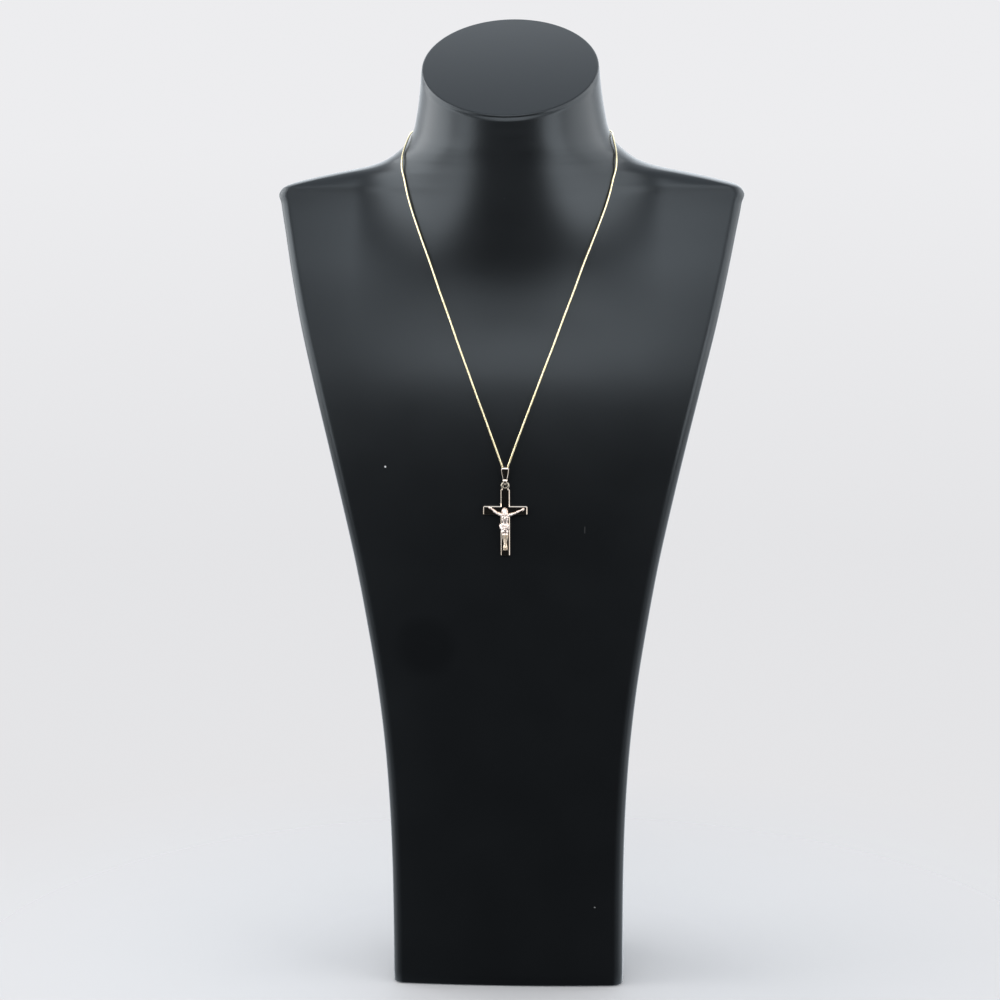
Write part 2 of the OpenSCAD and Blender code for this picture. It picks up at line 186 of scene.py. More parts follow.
def scratch_mask(tree, x1, z1, x2, z2, half_width_mm):
    """1 on a thin straight line on the bust's front, 0 off it."""
    length = math.hypot(x2 - x1, z2 - z1)
    turn = math.atan2(z2 - z1, x2 - x1)
    shift = add_node(tree, "ShaderNodeVectorMath", operation="SUBTRACT")
    shift.inputs[1].default_value = (x1 * MM, 0.0, z1 * MM)
    tree.links.new(object_point(tree), shift.inputs[0])
    rotate = add_node(tree, "ShaderNodeVectorRotate", rotation_type="Y_AXIS", Angle=turn)
    tree.links.new(shift.outputs[0], rotate.inputs["Vector"])
    split = add_node(tree, "ShaderNodeSeparateXYZ")
    tree.links.new(rotate.outputs[0], split.inputs[0])
    side = ramp(tree, maths(tree, "ABSOLUTE", split.outputs["Z"], 0.0),
                0.5 * half_width_mm * MM, half_width_mm * MM, 1.0, 0.0)
    along = maths(tree, "MULTIPLY", maths(tree, "GREATER_THAN", split.outputs["X"], 0.0),
                  maths(tree, "LESS_THAN", split.outputs["X"], length * MM))
    front = maths(tree, "LESS_THAN", split.outputs["Y"], 0.0)
    return maths(tree, "MULTIPLY", maths(tree, "MULTIPLY", side, along), front)


def resin_material():
    """Satin black resin with a faint rub, dust specks and a fine scratch."""
    material, tree, shader = new_material("black_resin")
    colour = RESIN
    for x, z, radius, shows in SPECKS:
        mask = maths(tree, "MULTIPLY", spot_mask(tree, x, z, radius), shows)
        colour = mix_colour(tree, mask, colour, RESIN_DUST)
    for x1, z1, x2, z2, half_width, shows in SCRATCHES:
        mask = maths(tree, "MULTIPLY", scratch_mask(tree, x1, z1, x2, z2, half_width), shows)
        colour = mix_colour(tree, mask, colour, RESIN_DUST)
    tree.links.new(colour, shader.inputs["Base Color"])
    shader.inputs["Specular Tint"].default_value = (*RESIN_SHEEN, 1.0)
    uneven = ramp(tree, noise(tree, RESIN_CLOUDS, 4.0), 0.3, 0.7, *RESIN_ROUGHNESS)
    rub = maths(tree, "MULTIPLY", spot_mask(tree, *RUB), RUB_SMOOTHER)
    tree.links.new(maths(tree, "SUBTRACT", uneven, rub), shader.inputs["Roughness"])
    bump(tree, shader, noise(tree, RESIN_GRAIN, 2.0), strength=0.05, distance=0.0002)
    return material


def gold_material(name, colour, deep, roughness, ripple, wear, recess_shade=None):
    """Polished gold: a slightly deeper tone in clouds, soft polishing ripples, fine wear, and
    where a shade colour is given, painted shade of that colour in the occluded recesses."""
    material, tree, shader = new_material(name)
    shader.inputs["Metallic"].default_value = 1.0
    clouds = ramp(tree, noise(tree, GOLD_CLOUDS, 3.0), 0.35, 0.7, 0.0, 1.0)
    tone = mix_colour(tree, clouds, colour, deep)
    if recess_shade:
        # Painted shade: the tone turns to a dark colour where ambient occlusion finds recesses
        opening = add_node(tree, "ShaderNodeAmbientOcclusion", only_local=True, samples=8,
                           Distance=SHADE_REACH_MM * MM)
        recess = ramp(tree, opening.outputs["AO"], 0.35, 0.90, 1.0, 0.0)
        tone = mix_colour(tree, recess, tone, recess_shade)
    tree.links.new(tone, shader.inputs["Base Color"])
    fine = noise(tree, GOLD_WEAR, 4.0)
    tree.links.new(ramp(tree, fine, 0.3, 0.75, roughness - wear, roughness + wear),
                   shader.inputs["Roughness"])
    bump(tree, shader, noise(tree, GOLD_RIPPLES, 2.0), strength=ripple, distance=0.00005)
    return material


def dull_between(material, low_mm, high_mm, soft_mm, colour, roughness):
    """Gives a gold another tone and roughness between two heights."""
    tree = material.node_tree
    shader = tree.nodes["Principled BSDF"]
    split = add_node(tree, "ShaderNodeSeparateXYZ")
    tree.links.new(object_point(tree), split.inputs[0])
    above = ramp(tree, split.outputs["Z"], (low_mm - soft_mm) * MM, low_mm * MM, 0.0, 1.0)
    below = ramp(tree, split.outputs["Z"], high_mm * MM, (high_mm + soft_mm) * MM, 1.0, 0.0)
    share = maths(tree, "MULTIPLY", above, below)
    tone = shader.inputs["Base Color"].links[0].from_socket
    tree.links.new(mix_colour(tree, share, tone, colour), shader.inputs["Base Color"])
    polish = shader.inputs["Roughness"].links[0].from_socket
    rougher = maths(tree, "MULTIPLY", share, maths(tree, "SUBTRACT", roughness, polish))
    tree.links.new(maths(tree, "ADD", polish, rougher), shader.inputs["Roughness"])


# Golds: tone, deeper tone, roughness, ripple and wear
SNAKE_GOLD = ((0.96, 0.86, 0.58), (0.90, 0.77, 0.46), 0.28, 0.10, 0.05)
POLISHED_GOLD = ((0.93, 0.82, 0.72), (0.88, 0.74, 0.60), 0.13, 0.25, 0.04)
CAST_GOLD = ((0.98, 0.87, 0.82), (0.94, 0.78, 0.70), 0.34, 0.20, 0.05)
# Painted shade for the figure's recesses, and how far the occlusion reaches
RECESS_SHADE = (0.11, 0.07, 0.06)
SHADE_REACH_MM = 0.9
resin = resin_material()
chain_gold = gold_material("chain_gold", *SNAKE_GOLD)
cross_gold = gold_material("cross_gold", *POLISHED_GOLD)
bail_gold = gold_material("bail_gold", *POLISHED_GOLD)
# The figure's gold gets painted shade in its recesses
figure_gold = gold_material("figure_gold", *CAST_GOLD, recess_shade=RECESS_SHADE)
# The lug gets a darker, rougher gold between these heights, and the figure's shins a warmer, more matt
# gold
dull_between(cross_gold, low_mm=262.5, high_mm=270.0, soft_mm=0.3,
             colour=(0.45, 0.41, 0.34), roughness=0.42)
dull_between(figure_gold, low_mm=229.0, high_mm=238.6, soft_mm=1.0,
             colour=(0.98, 0.84, 0.68), roughness=0.50)


def use(name, material):
    """Gives a CAD node a material."""
    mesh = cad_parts[name].data
    mesh.materials.clear()
    mesh.materials.append(material)


def add_mesh(name, points, faces, material, body, node):
    """A smooth mesh, points in mm, that stands for a CAD node and rides on its body."""
    mesh = bpy.data.meshes.new(name)
    mesh.from_pydata((np.asarray(points) * MM).tolist(), [], [list(map(int, f)) for f in faces])
    mesh.materials.append(material)
    mesh.polygons.foreach_set("use_smooth", [True] * len(mesh.polygons))
    mesh.update()
    piece = bpy.data.objects.new(name, mesh)
    bpy.context.scene.collection.objects.link(piece)
    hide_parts(node)
    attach(piece, body)
    return piece


# Bust: the same sections as the CAD bust, in finer rings

BASE_W, BASE_D = 119.6, 96.0
SHOULDER_W, SHOULDER_Z = 240.4, 409.0
NECK_Z, NECK_W, NECK_TILT = 473.3, 91.4, 32.0
ROOT_W, ROOT_D = 160.0, 87.0
CHEST_LEAN, SHOULDER_LEAN, BACK_LEAN = 19.0, 44.0, 10.0
CHEST_SAG, BASE_SAG = 10.0, 3.0
EDGE_T, EDGE_R, RIM_R, FOOT_R = 14.0, 5.0, 1.2, 1.5
FRONT_Y = -BASE_D / 2
SHIFT_Y = -4.35
BUST_RING = 240
BUST_STEPS = 5
# Height, widening, chest lean, shoulder lean, back lean, as shares of the sizes above
TORSO = [
    (0.00, 0.000, 0.000, 0.000, 0.00),
    (0.08, 0.000, 0.000, 0.000, 0.00),
    (0.15, 0.005, 0.000, 0.000, 0.00),
    (0.23, 0.023, 0.000, 0.000, 0.00),
    (0.31, 0.060, 0.000, 0.000, 0.01),
    (0.39, 0.122, 0.000, 0.000, 0.03),
    (0.47, 0.208, 0.000, 0.000, 0.06),
    (0.54, 0.294, 0.000, 0.000, 0.10),
    (0.62, 0.412, 0.015, 0.006, 0.16),
    (0.69, 0.524, 0.100, 0.043, 0.25),
    (0.77, 0.659, 0.350, 0.153, 0.40),
    (0.84, 0.778, 0.740, 0.343, 0.60),
    (0.90, 0.868, 0.960, 0.560, 0.78),
    (0.95, 0.938, 1.000, 0.790, 0.92),
    (0.985, 0.986, 1.000, 0.945, 0.99),
    (1.00, 1.000, 1.000, 1.000, 1.00),
]
# Height from shoulder to neck top, widening, roundness, slant, depth, shoulder lean
NECK = [
    (0.049, 0.949, 0.01, 0.00, 0.02, 1.02),
    (0.098, 0.793, 0.05, 0.00, 0.04, 1.05),
    (0.145, 0.605, 0.12, 0.00, 0.07, 1.08),
    (0.194, 0.397, 0.22, 0.01, 0.10, 1.10),
    (0.235, 0.289, 0.33, 0.03, 0.14, 1.12),
    (0.283, 0.215, 0.46, 0.06, 0.19, 1.13),
    (0.332, 0.162, 0.60, 0.11, 0.25, 1.14),
    (0.381, 0.117, 0.77, 0.17, 0.32, 1.14),
    (0.474, 0.071, 1.00, 0.31, 0.45, 1.14),
    (0.620, 0.040, 1.00, 0.53, 0.63, 1.14),
    (0.814, 0.015, 1.00, 0.81, 0.83, 1.14),
    (1.000, 0.000, 1.00, 1.00, 1.00, 1.14),
]


def mix(a, b, share):
    return a + (b - a) * share


def torso_section(up, wide, chest, shoulder, back):
    """Height, half-width, front, front at the sides, back, sag, roundness, slant."""
    return [up * SHOULDER_Z, mix(BASE_W, SHOULDER_W, wide) / 2, FRONT_Y + CHEST_LEAN * chest,
            FRONT_Y + SHOULDER_LEAN * shoulder, BASE_D / 2 + BACK_LEAN * back,
            mix(BASE_SAG, CHEST_SAG, wide), 0.0, 0.0]


def neck_section(up, wide, roundness, slant, depth, shoulder):
    half_d = mix(ROOT_D, NECK_W, depth) / 2
    middle = FRONT_Y + CHEST_LEAN + half_d * math.cos(math.radians(NECK_TILT * slant))
    return [mix(SHOULDER_Z, NECK_Z, up), mix(NECK_W, SHOULDER_W, wide) / 2, middle - half_d,
            FRONT_Y + SHOULDER_LEAN * shoulder, middle + half_d, CHEST_SAG, roundness,
            NECK_TILT * slant]


SECTIONS = np.array([torso_section(*row) for row in TORSO] + [neck_section(*row) for row in NECK])


def slope(i):
    """Rate of change of every column at section i, with the heights as knots."""
    steps = [(SECTIONS[k + 1] - SECTIONS[k]) / (SECTIONS[k + 1][0] - SECTIONS[k][0])
             for k in (i - 1, i) if 0 <= k < len(SECTIONS) - 1]
    if len(steps) == 1:
        return steps[0]
    below = SECTIONS[i][0] - SECTIONS[i - 1][0]
    above = SECTIONS[i + 1][0] - SECTIONS[i][0]
    return (steps[0] * above + steps[1] * below) / (below + above)


def between(i, u):
    """The section a share u of the way from section i to the next."""
    rise = SECTIONS[i + 1][0] - SECTIONS[i][0]
    return (SECTIONS[i] * (2 * u**3 - 3 * u**2 + 1) + slope(i) * rise * (u**3 - 2 * u**2 + u)
            + SECTIONS[i + 1] * (3 * u**2 - 2 * u**3) + slope(i + 1) * rise * (u**3 - u**2))


def bust_ring(section, inset, sink):
    """One ring of the bust: inset draws it in, sink lowers it square to its own plane."""
    z, half_w, front, side_front, back, sag, roundness, slant = section
    angle = np.radians(np.arange(BUST_RING) * 360.0 / BUST_RING)
    x = half_w * np.cos(angle)
    bow = np.sqrt(np.maximum(0, 1 - (x / half_w) ** 2))
    swell = np.where(np.abs(2 * x / ROOT_W) < 1, (1 - (2 * x / ROOT_W) ** 2) ** 2, 0)
    end_swell = (1 - (2 * half_w / ROOT_W) ** 2) ** 2 if 2 * half_w < ROOT_W else 0
    over = np.maximum(0, np.abs(x) - (half_w - EDGE_R))
    corner = EDGE_R - np.sqrt(np.maximum(0, EDGE_R**2 - over**2))
    flat_front = side_front + sag * (x / half_w) ** 2 - (side_front - front) * swell
    edge_back = side_front + sag - (side_front - front) * end_swell + EDGE_T
    middle = (front + back) / 2
    flat = np.where(np.sin(angle) > 0, mix(edge_back, back, bow), flat_front + corner)
    round_y = middle + np.where(np.sin(angle) > 0, 1, -1) * (back - front) / 2 * bow
    y = mix(flat, round_y, roundness)
    y = middle + (y - middle) * (1 - 2 * inset / (back - front))
    tilt = math.radians(slant)
    return np.stack([x * (1 - inset / half_w),
                     middle + (y - middle) * math.cos(tilt) + sink * math.sin(tilt) + SHIFT_Y,
                     z + (y - middle) * math.sin(tilt) - sink * math.cos(tilt)], axis=1)


def skin(rings, closed_ends=True):
    """Points and faces of a skin between rings of equal length."""
    count, around = len(rings), len(rings[0])
    faces = []
    for i in range(count - 1):
        for k in range(around):
            n = (k + 1) % around
            faces.append((i * around + k, i * around + n, (i + 1) * around + n, (i + 1) * around + k))
    if closed_ends:
        faces.append(tuple(range(around - 1, -1, -1)))
        faces.append(tuple((count - 1) * around + k for k in range(around)))
    return np.concatenate(rings), faces


def make_bust():
    turns = np.radians(np.linspace(0, 90, 6))
    rings = [bust_ring(SECTIONS[0], FOOT_R * (1 - math.sin(a)), -FOOT_R * (1 - math.cos(a)))
             for a in turns[:-1]]
    for i in range(len(SECTIONS) - 1):
        for step in range(BUST_STEPS):
            if i + step:
                rings.append(bust_ring(between(i, step / BUST_STEPS), 0, 0))
    rings += [bust_ring(SECTIONS[-1], RIM_R * (1 - math.cos(a)), RIM_R * (1 - math.sin(a)))
              for a in turns]
    points, faces = skin(rings)
    add_mesh("bust_smooth", points, faces, resin, "display", "bust")


make_bust()


# Chain: fine snake links along the CAD route

CHAIN_D = 1.0
LINK_PITCH = 0.62
LINK_RINGS = 4
CHAIN_SIDES = 12
LINK_GROOVE = 0.12
ROUTE_STEPS = 24
# The right half of the route, as in part.scad: x, distance behind the base's front, z
ROUTE = [
    (0, -0.9, 272),
    (0.55, -0.9, 272.1),
    (1.05, -0.9, 272.5),
    (1.4, -0.9, 273.2),
    (1.65, -0.9, 274.1),
    (2.45, -0.7, 276.4),
    (4.1, -0.2, 281),
    (9.1, 1.8, 294.5),
    (14.2, 4.1, 308),
    (19.5, 7.4, 322),
    (24.5, 11, 335),
    (29.1, 14.4, 347.5),
    (34.4, 18.3, 361.5),
    (39.1, 22.1, 374.5),
    (44.4, 27.3, 388),
    (49.8, 33.4, 402.5),
    (51.9, 36.4, 409.5),
    (53.4, 38.9, 416),
    (54.8, 41.2, 421.5),
    (55, 44.3, 426.5),
    (54.5, 49.6, 431),
    (53.4, 55.5, 435),
    (52.7, 60.4, 437.5),
    (52.2, 69.4, 439),
    (49.8, 78.4, 439.5),
    (45.3, 86.8, 439.5),
    (39.5, 93.7, 439),
    (32.5, 99.2, 438),
    (24.6, 103.2, 436.7),
    (16.5, 105.9, 435.5),
    (11, 107.4, 435),
    (7.4, 108.1, 434.7),
    (5.9, 108.1, 434.6),
]


def chain_route():
    half = np.array(ROUTE, float) + (0, FRONT_Y + SHIFT_Y, 0)
    return np.concatenate([(half * (-1, 1, 1))[:0:-1], half])


def even_points(route, spacing):
    """Points at an even spacing on a smooth curve through the route's points."""
    ends = [2 * route[0] - route[1], *route, 2 * route[-1] - route[-2]]
    dense = []
    for p0, p1, p2, p3 in zip(ends, ends[1:], ends[2:], ends[3:]):
        knots = np.cumsum([0, *(math.sqrt(np.linalg.norm(b - a))
                                for a, b in ((p0, p1), (p1, p2), (p2, p3)))])
        for t in np.linspace(knots[1], knots[2], ROUTE_STEPS, endpoint=False):
            def blend(a, b, i, j):
                span = knots[j] - knots[i]
                return a * (knots[j] - t) / span + b * (t - knots[i]) / span
            a1, a2, a3 = blend(p0, p1, 0, 1), blend(p1, p2, 1, 2), blend(p2, p3, 2, 3)
            b1, b2 = blend(a1, a2, 0, 2), blend(a2, a3, 1, 3)
            dense.append(blend(b1, b2, 1, 2))
    dense.append(route[-1])
    dense = np.array(dense)
    run = np.concatenate([[0], np.cumsum(np.linalg.norm(np.diff(dense, axis=0), axis=1))])
    at = np.linspace(0, run[-1], int(run[-1] / spacing) + 1)
    return np.stack([np.interp(at, run, dense[:, i]) for i in range(3)], axis=1), at


def make_chain():
    points, at = even_points(chain_route(), LINK_PITCH / LINK_RINGS)
    along = np.gradient(points, axis=0)
    along /= np.linalg.norm(along, axis=1)[:, None]
    angle = np.radians(np.arange(CHAIN_SIDES) * 360.0 / CHAIN_SIDES)
    across = np.array([0.0, 1.0, 0.0])
    rings = []
    for point, way, run in zip(points, along, at):
        across = across - way * across.dot(way)
        across /= np.linalg.norm(across)
        over = np.cross(way, across)
        phase = math.pi * (run / LINK_PITCH + 0.25 * np.cos(2 * angle))
        radius = CHAIN_D / 2 * (1 - LINK_GROOVE * np.abs(np.cos(phase)) ** 3)
        rings.append(point + radius[:, None] * (np.outer(np.cos(angle), across)
                                                + np.outer(np.sin(angle), over)))
    points, faces = skin(rings)
    add_mesh("snake_chain", points, faces, chain_gold, "display", "chain")


make_chain()


# Bail: one bevelled strip folded over the chain and through the eye

STRIP_T = 0.3
BAIL_HALF = 1.0
BAIL_BEVEL = 0.26
BAIL_BEVEL_DEPTH = 0.26
# The bevel takes at most this share of the strip's half-width
BAIL_BEVEL_SHARE = 0.6
BAIL_CORNER = 0.35
BAIL_EDGE_MM = 0.03
BAIL_LOW, BAIL_HIGH = (Vector(corner) * 1000 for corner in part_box("bail"))
PENDANT_Y = (BAIL_LOW.y + BAIL_HIGH.y) / 2
# Outline of the bail: depth below the crest, half-width, and how far its strip is drawn in
BAIL_OUTLINE = [
    (0.00, 0.75, 0.00),
    (0.46, 0.75, 0.00),
    (0.62, 1.70, 0.00),
    (0.85, 1.95, 0.00),
    (1.80, 1.90, 0.00),
    (3.90, 1.62, 0.00),
    (5.60, 1.30, 0.10),
    (6.45, 1.16, 0.28),
    (7.15, 1.02, 0.00),
    (7.40, 0.95, 0.00),
    (8.40, 0.45, 0.00),
    (9.30, 0.45, 0.00),
]


def make_bail():
    corner = BAIL_CORNER
    top = BAIL_HIGH.z - BAIL_HALF - STRIP_T / 2
    low = BAIL_LOW.z + STRIP_T / 2
    over = [(-BAIL_HALF * math.cos(a), top + BAIL_HALF * math.sin(a))
            for a in np.linspace(0, math.pi, 33)]
    down = [(BAIL_HALF, z) for z in np.linspace(top, low + corner, 60)[1:]]
    turn = [(BAIL_HALF - corner + corner * math.cos(a), low + corner - corner * math.sin(a))
            for a in np.linspace(0, math.pi / 2, 9)[1:]]
    under = [(y, low) for y in np.linspace(BAIL_HALF - corner, corner - BAIL_HALF, 7)[1:]]
    back_turn = [(-y, z) for y, z in turn[-2::-1]]
    up = [(-BAIL_HALF, z) for z in np.linspace(low + corner, top, 60)[:-1]]
    drops, halves, draws = zip(*BAIL_OUTLINE)
    loop = np.array(over + down + turn + under + back_turn + up)
    loop[:, 0] -= np.sign(loop[:, 0]) * np.interp(BAIL_HIGH.z - loop[:, 1], drops, draws)
    way = np.roll(loop, -1, axis=0) - np.roll(loop, 1, axis=0)
    out = np.stack([-way[:, 1], way[:, 0]], axis=1)
    out /= np.linalg.norm(out, axis=1)[:, None]
    rings = []
    for (y, z), (out_y, out_z) in zip(loop, out):
        half = np.interp(BAIL_HIGH.z - z, drops, halves)
        bevel = min(BAIL_BEVEL, BAIL_BEVEL_SHARE * half)
        t = STRIP_T / 2
        section = [(-half, -t), (-half, t - BAIL_BEVEL_DEPTH), (-half + bevel, t),
                   (half - bevel, t), (half, t - BAIL_BEVEL_DEPTH), (half, -t)]
        rings.append([(x, PENDANT_Y + y + d * out_y, z + d * out_z) for x, d in section])
    rings.append(rings[0])
    points, faces = skin([np.array(r) for r in rings], closed_ends=False)
    piece = add_mesh("bail_strip", points, faces, bail_gold, "bail", "bail")
    soften = piece.modifiers.new("edges", "BEVEL")
    soften.width = BAIL_EDGE_MM * MM
    soften.segments = 2


make_bail()


# Figure: one smooth skin round balls, rods and eggs, with grooves cut in. Places are across,
# out from the plate and up from the soles, as shares of the figure's height, and the head's
# are shares of its own height from the middle of the skull. The face is a plain, calm one.

FIGURE_H = 21.6
SOLES_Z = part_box("figure")[0].z * 1000
FIGURE_BACK_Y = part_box("figure")[1].y * 1000
BODY_CELL = 0.075
HEAD_CELL = 0.042
HEAD_SHARE = 0.165
HEAD_AT = (-0.012, 0.050, 0.928)
HEAD_BOW = 14.0
HEAD_TILT = -8.0

# Rods: end, end, radius at each end
ARMS = [
    ((-0.075, 0.045, 0.846), (-0.130, 0.044, 0.868), 0.033, 0.027),
    ((-0.130, 0.044, 0.868), (-0.199, 0.040, 0.896), 0.027, 0.021),
    ((-0.199, 0.040, 0.896), (-0.240, 0.036, 0.930), 0.023, 0.024),
    ((-0.240, 0.036, 0.930), (-0.332, 0.024, 1.010), 0.024, 0.013),
    ((0.066, 0.045, 0.838), (0.130, 0.044, 0.856), 0.033, 0.027),
    ((0.130, 0.044, 0.856), (0.235, 0.040, 0.893), 0.027, 0.020),
    ((0.235, 0.040, 0.893), (0.285, 0.036, 0.920), 0.022, 0.023),
    ((0.285, 0.036, 0.920), (0.392, 0.024, 0.974), 0.023, 0.013),
]
HANDS = [
    ((-0.336, 0.026, 1.014), (-0.353, 0.028, 1.024), 0.018, 0.031),
    ((-0.350, 0.026, 1.036), (-0.368, 0.034, 1.046), 0.011, 0.008),
    ((-0.360, 0.026, 1.030), (-0.382, 0.032, 1.036), 0.011, 0.008),
    ((-0.362, 0.026, 1.018), (-0.384, 0.030, 1.020), 0.011, 0.008),
    ((-0.344, 0.028, 1.008), (-0.358, 0.040, 0.996), 0.011, 0.008),
    ((0.396, 0.026, 0.976), (0.414, 0.028, 0.982), 0.018, 0.031),
    ((0.408, 0.026, 0.996), (0.426, 0.034, 1.006), 0.011, 0.008),
    ((0.420, 0.026, 0.990), (0.442, 0.032, 0.994), 0.011, 0.008),
    ((0.422, 0.026, 0.978), (0.444, 0.030, 0.976), 0.011, 0.008),
    ((0.404, 0.028, 0.966), (0.416, 0.040, 0.952), 0.011, 0.008),
]
LEGS = [
    ((-0.062, 0.046, 0.570), (-0.046, 0.066, 0.460), 0.046, 0.041),
    ((-0.046, 0.066, 0.460), (-0.032, 0.084, 0.388), 0.041, 0.032),
    ((-0.032, 0.082, 0.388), (-0.028, 0.058, 0.310), 0.031, 0.034),
    ((-0.028, 0.058, 0.310), (-0.012, 0.054, 0.168), 0.031, 0.018),
    ((-0.012, 0.054, 0.164), (-0.023, 0.058, 0.090), 0.020, 0.021),
    ((-0.023, 0.058, 0.090), (-0.027, 0.044, 0.046), 0.021, 0.019),
    ((0.040, 0.044, 0.570), (0.034, 0.058, 0.460), 0.044, 0.039),
    ((0.034, 0.058, 0.460), (0.031, 0.074, 0.388), 0.039, 0.031),
    ((0.031, 0.072, 0.388), (0.028, 0.048, 0.310), 0.030, 0.033),
    ((0.028, 0.048, 0.310), (0.013, 0.042, 0.168), 0.030, 0.018),
    ((0.013, 0.042, 0.164), (0.023, 0.048, 0.090), 0.020, 0.021),
    ((0.023, 0.048, 0.090), (0.027, 0.036, 0.046), 0.021, 0.019),
]
TOES = [((side * (0.011 + 0.0085 * k), out + 0.004, 0.036),
         (side * (0.010 + 0.0088 * k), out - 0.002, 0.012 + 0.003 * k), 0.0062, 0.0050)
        for side, out in ((-1, 0.048), (1, 0.040)) for k in range(5)]
NECK_ROD = [((-0.006, 0.040, 0.850), (-0.012, 0.044, 0.905), 0.034, 0.030)]
# Eggs: middle, radius across, out and up
TRUNK = [
    ((-0.004, 0.040, 0.772), (0.086, 0.068, 0.094)),
    ((-0.004, 0.040, 0.838), (0.082, 0.034, 0.030)),
    ((0.000, 0.036, 0.690), (0.066, 0.050, 0.080)),
    ((-0.006, 0.044, 0.620), (0.080, 0.050, 0.050)),
]
MUSCLES = [
    ((-0.040, 0.076, 0.808), (0.036, 0.022, 0.030)),
    ((0.036, 0.076, 0.802), (0.036, 0.022, 0.030)),
    ((-0.080, 0.050, 0.846), (0.028, 0.028, 0.026)),
    ((0.070, 0.050, 0.838), (0.028, 0.028, 0.026)),
    ((-0.022, 0.072, 0.712), (0.018, 0.014, 0.020)),
    ((0.020, 0.072, 0.712), (0.018, 0.014, 0.020)),
    ((-0.022, 0.072, 0.674), (0.018, 0.014, 0.018)),
    ((0.020, 0.072, 0.674), (0.018, 0.014, 0.018)),
    ((-0.032, 0.106, 0.390), (0.016, 0.014, 0.020)),
    ((0.031, 0.096, 0.390), (0.016, 0.014, 0.020)),
]
# Grooves in the skin: breastbone, middle of the belly, rib arch, ribs and between the shins
GROOVES = [
    ((-0.002, 0.102, 0.826), (-0.002, 0.110, 0.780), 0.008, 0.008),
    ((-0.001, 0.108, 0.752), (-0.001, 0.092, 0.650), 0.016, 0.012),
    ((-0.010, 0.108, 0.752), (-0.052, 0.092, 0.712), 0.009, 0.006),
    ((0.010, 0.108, 0.752), (0.052, 0.092, 0.712), 0.009, 0.006),
    ((-0.050, 0.094, 0.766), (-0.082, 0.070, 0.756), 0.005, 0.005),
    ((-0.054, 0.090, 0.744), (-0.080, 0.066, 0.734), 0.005, 0.005),
    ((0.050, 0.094, 0.762), (0.080, 0.070, 0.752), 0.005, 0.005),
    ((0.054, 0.090, 0.740), (0.078, 0.066, 0.730), 0.005, 0.005),
    ((-0.001, 0.086, 0.390), (0.000, 0.072, 0.110), 0.012, 0.010),
]
CLOTH = [
    ((-0.016, 0.046, 0.600), (0.122, 0.058, 0.050)),
    ((-0.018, 0.050, 0.556), (0.112, 0.064, 0.056)),
    ((-0.012, 0.054, 0.506), (0.086, 0.060, 0.054)),
    ((-0.004, 0.058, 0.462), (0.060, 0.050, 0.042)),
]
# The cloth's rolled top, its knot and its two hanging ends
KNOT = (0.056, 0.600)
FOLDS = [
    ((-0.120, 0.046, 0.636), (-0.070, 0.084, 0.626), 0.008, 0.008),
    ((-0.070, 0.084, 0.626), (-0.008, 0.096, 0.612), 0.008, 0.008),
    ((-0.008, 0.096, 0.612), (0.052, 0.092, 0.600), 0.008, 0.008),
    ((0.060, 0.086, 0.602), (0.092, 0.048, 0.626), 0.009, 0.008),
    ((0.052, 0.094, 0.592), (0.061, 0.090, 0.602), 0.016, 0.015),
    ((0.070, 0.084, 0.590), (0.094, 0.052, 0.516), 0.011, 0.015),
    ((0.060, 0.090, 0.586), (0.070, 0.084, 0.528), 0.010, 0.013),
    ((-0.100, 0.070, 0.596), (-0.012, 0.108, 0.520), 0.010, 0.014),
    ((-0.104, 0.062, 0.556), (-0.030, 0.104, 0.470), 0.010, 0.013),
]
FOLD_COUNT = 18
FOLD_DEPTH = 0.0045
FOLD_FADE = 0.07
FOLD_FAN = 0.02
CLOTH_GROOVES = [
    ((0.010, 0.120, 0.560), (0.004, 0.104, 0.430), 0.012, 0.012),
]

SKULL = [
    ((0.00, -0.04, 0.14), (0.32, 0.36, 0.35)),
    ((0.00, 0.06, -0.12), (0.25, 0.25, 0.36)),
    ((-0.16, 0.18, -0.07), (0.08, 0.07, 0.07)),
    ((0.16, 0.18, -0.07), (0.08, 0.07, 0.07)),
    ((0.00, 0.20, -0.40), (0.09, 0.08, 0.08)),
]
SOCKETS = [
    ((-0.13, 0.33, 0.01), (0.085, 0.06, 0.050)),
    ((0.13, 0.33, 0.01), (0.085, 0.06, 0.050)),
]
FACE_RODS = [
    ((-0.20, 0.23, 0.085), (-0.05, 0.28, 0.080), 0.030, 0.035),
    ((0.20, 0.23, 0.085), (0.05, 0.28, 0.080), 0.030, 0.035),
    ((0.00, 0.28, 0.060), (0.00, 0.36, -0.150), 0.034, 0.046),
    ((-0.05, 0.31, -0.175), (0.05, 0.31, -0.175), 0.030, 0.030),
]
LIDS = [
    ((-0.13, 0.235, 0.005), (0.062, 0.045, 0.040)),
    ((0.13, 0.235, 0.005), (0.062, 0.045, 0.040)),
]
LIPS = [
    ((-0.07, 0.270, -0.300), (0.07, 0.270, -0.300), 0.024, 0.024),
    ((-0.05, 0.275, -0.345), (0.05, 0.275, -0.345), 0.028, 0.028),
]
FACE_GROOVES = [
    ((-0.19, 0.262, -0.014), (-0.075, 0.290, -0.018), 0.010, 0.010),
    ((0.075, 0.290, -0.018), (0.19, 0.262, -0.014), 0.010, 0.010),
    ((-0.08, 0.300, -0.322), (0.08, 0.300, -0.322), 0.009, 0.009),
]
BEARD = [
    ((-0.02, 0.310, -0.235), (-0.13, 0.240, -0.330), 0.026, 0.022),
    ((0.02, 0.310, -0.235), (0.13, 0.240, -0.330), 0.026, 0.022),
    ((-0.22, 0.08, -0.20), (-0.15, 0.16, -0.42), 0.060, 0.080),
    ((0.22, 0.08, -0.20), (0.15, 0.16, -0.42), 0.060, 0.080),
    ((-0.08, 0.20, -0.44), (-0.035, 0.21, -0.58), 0.090, 0.045),
    ((0.08, 0.20, -0.44), (0.035, 0.21, -0.58), 0.090, 0.045),
]
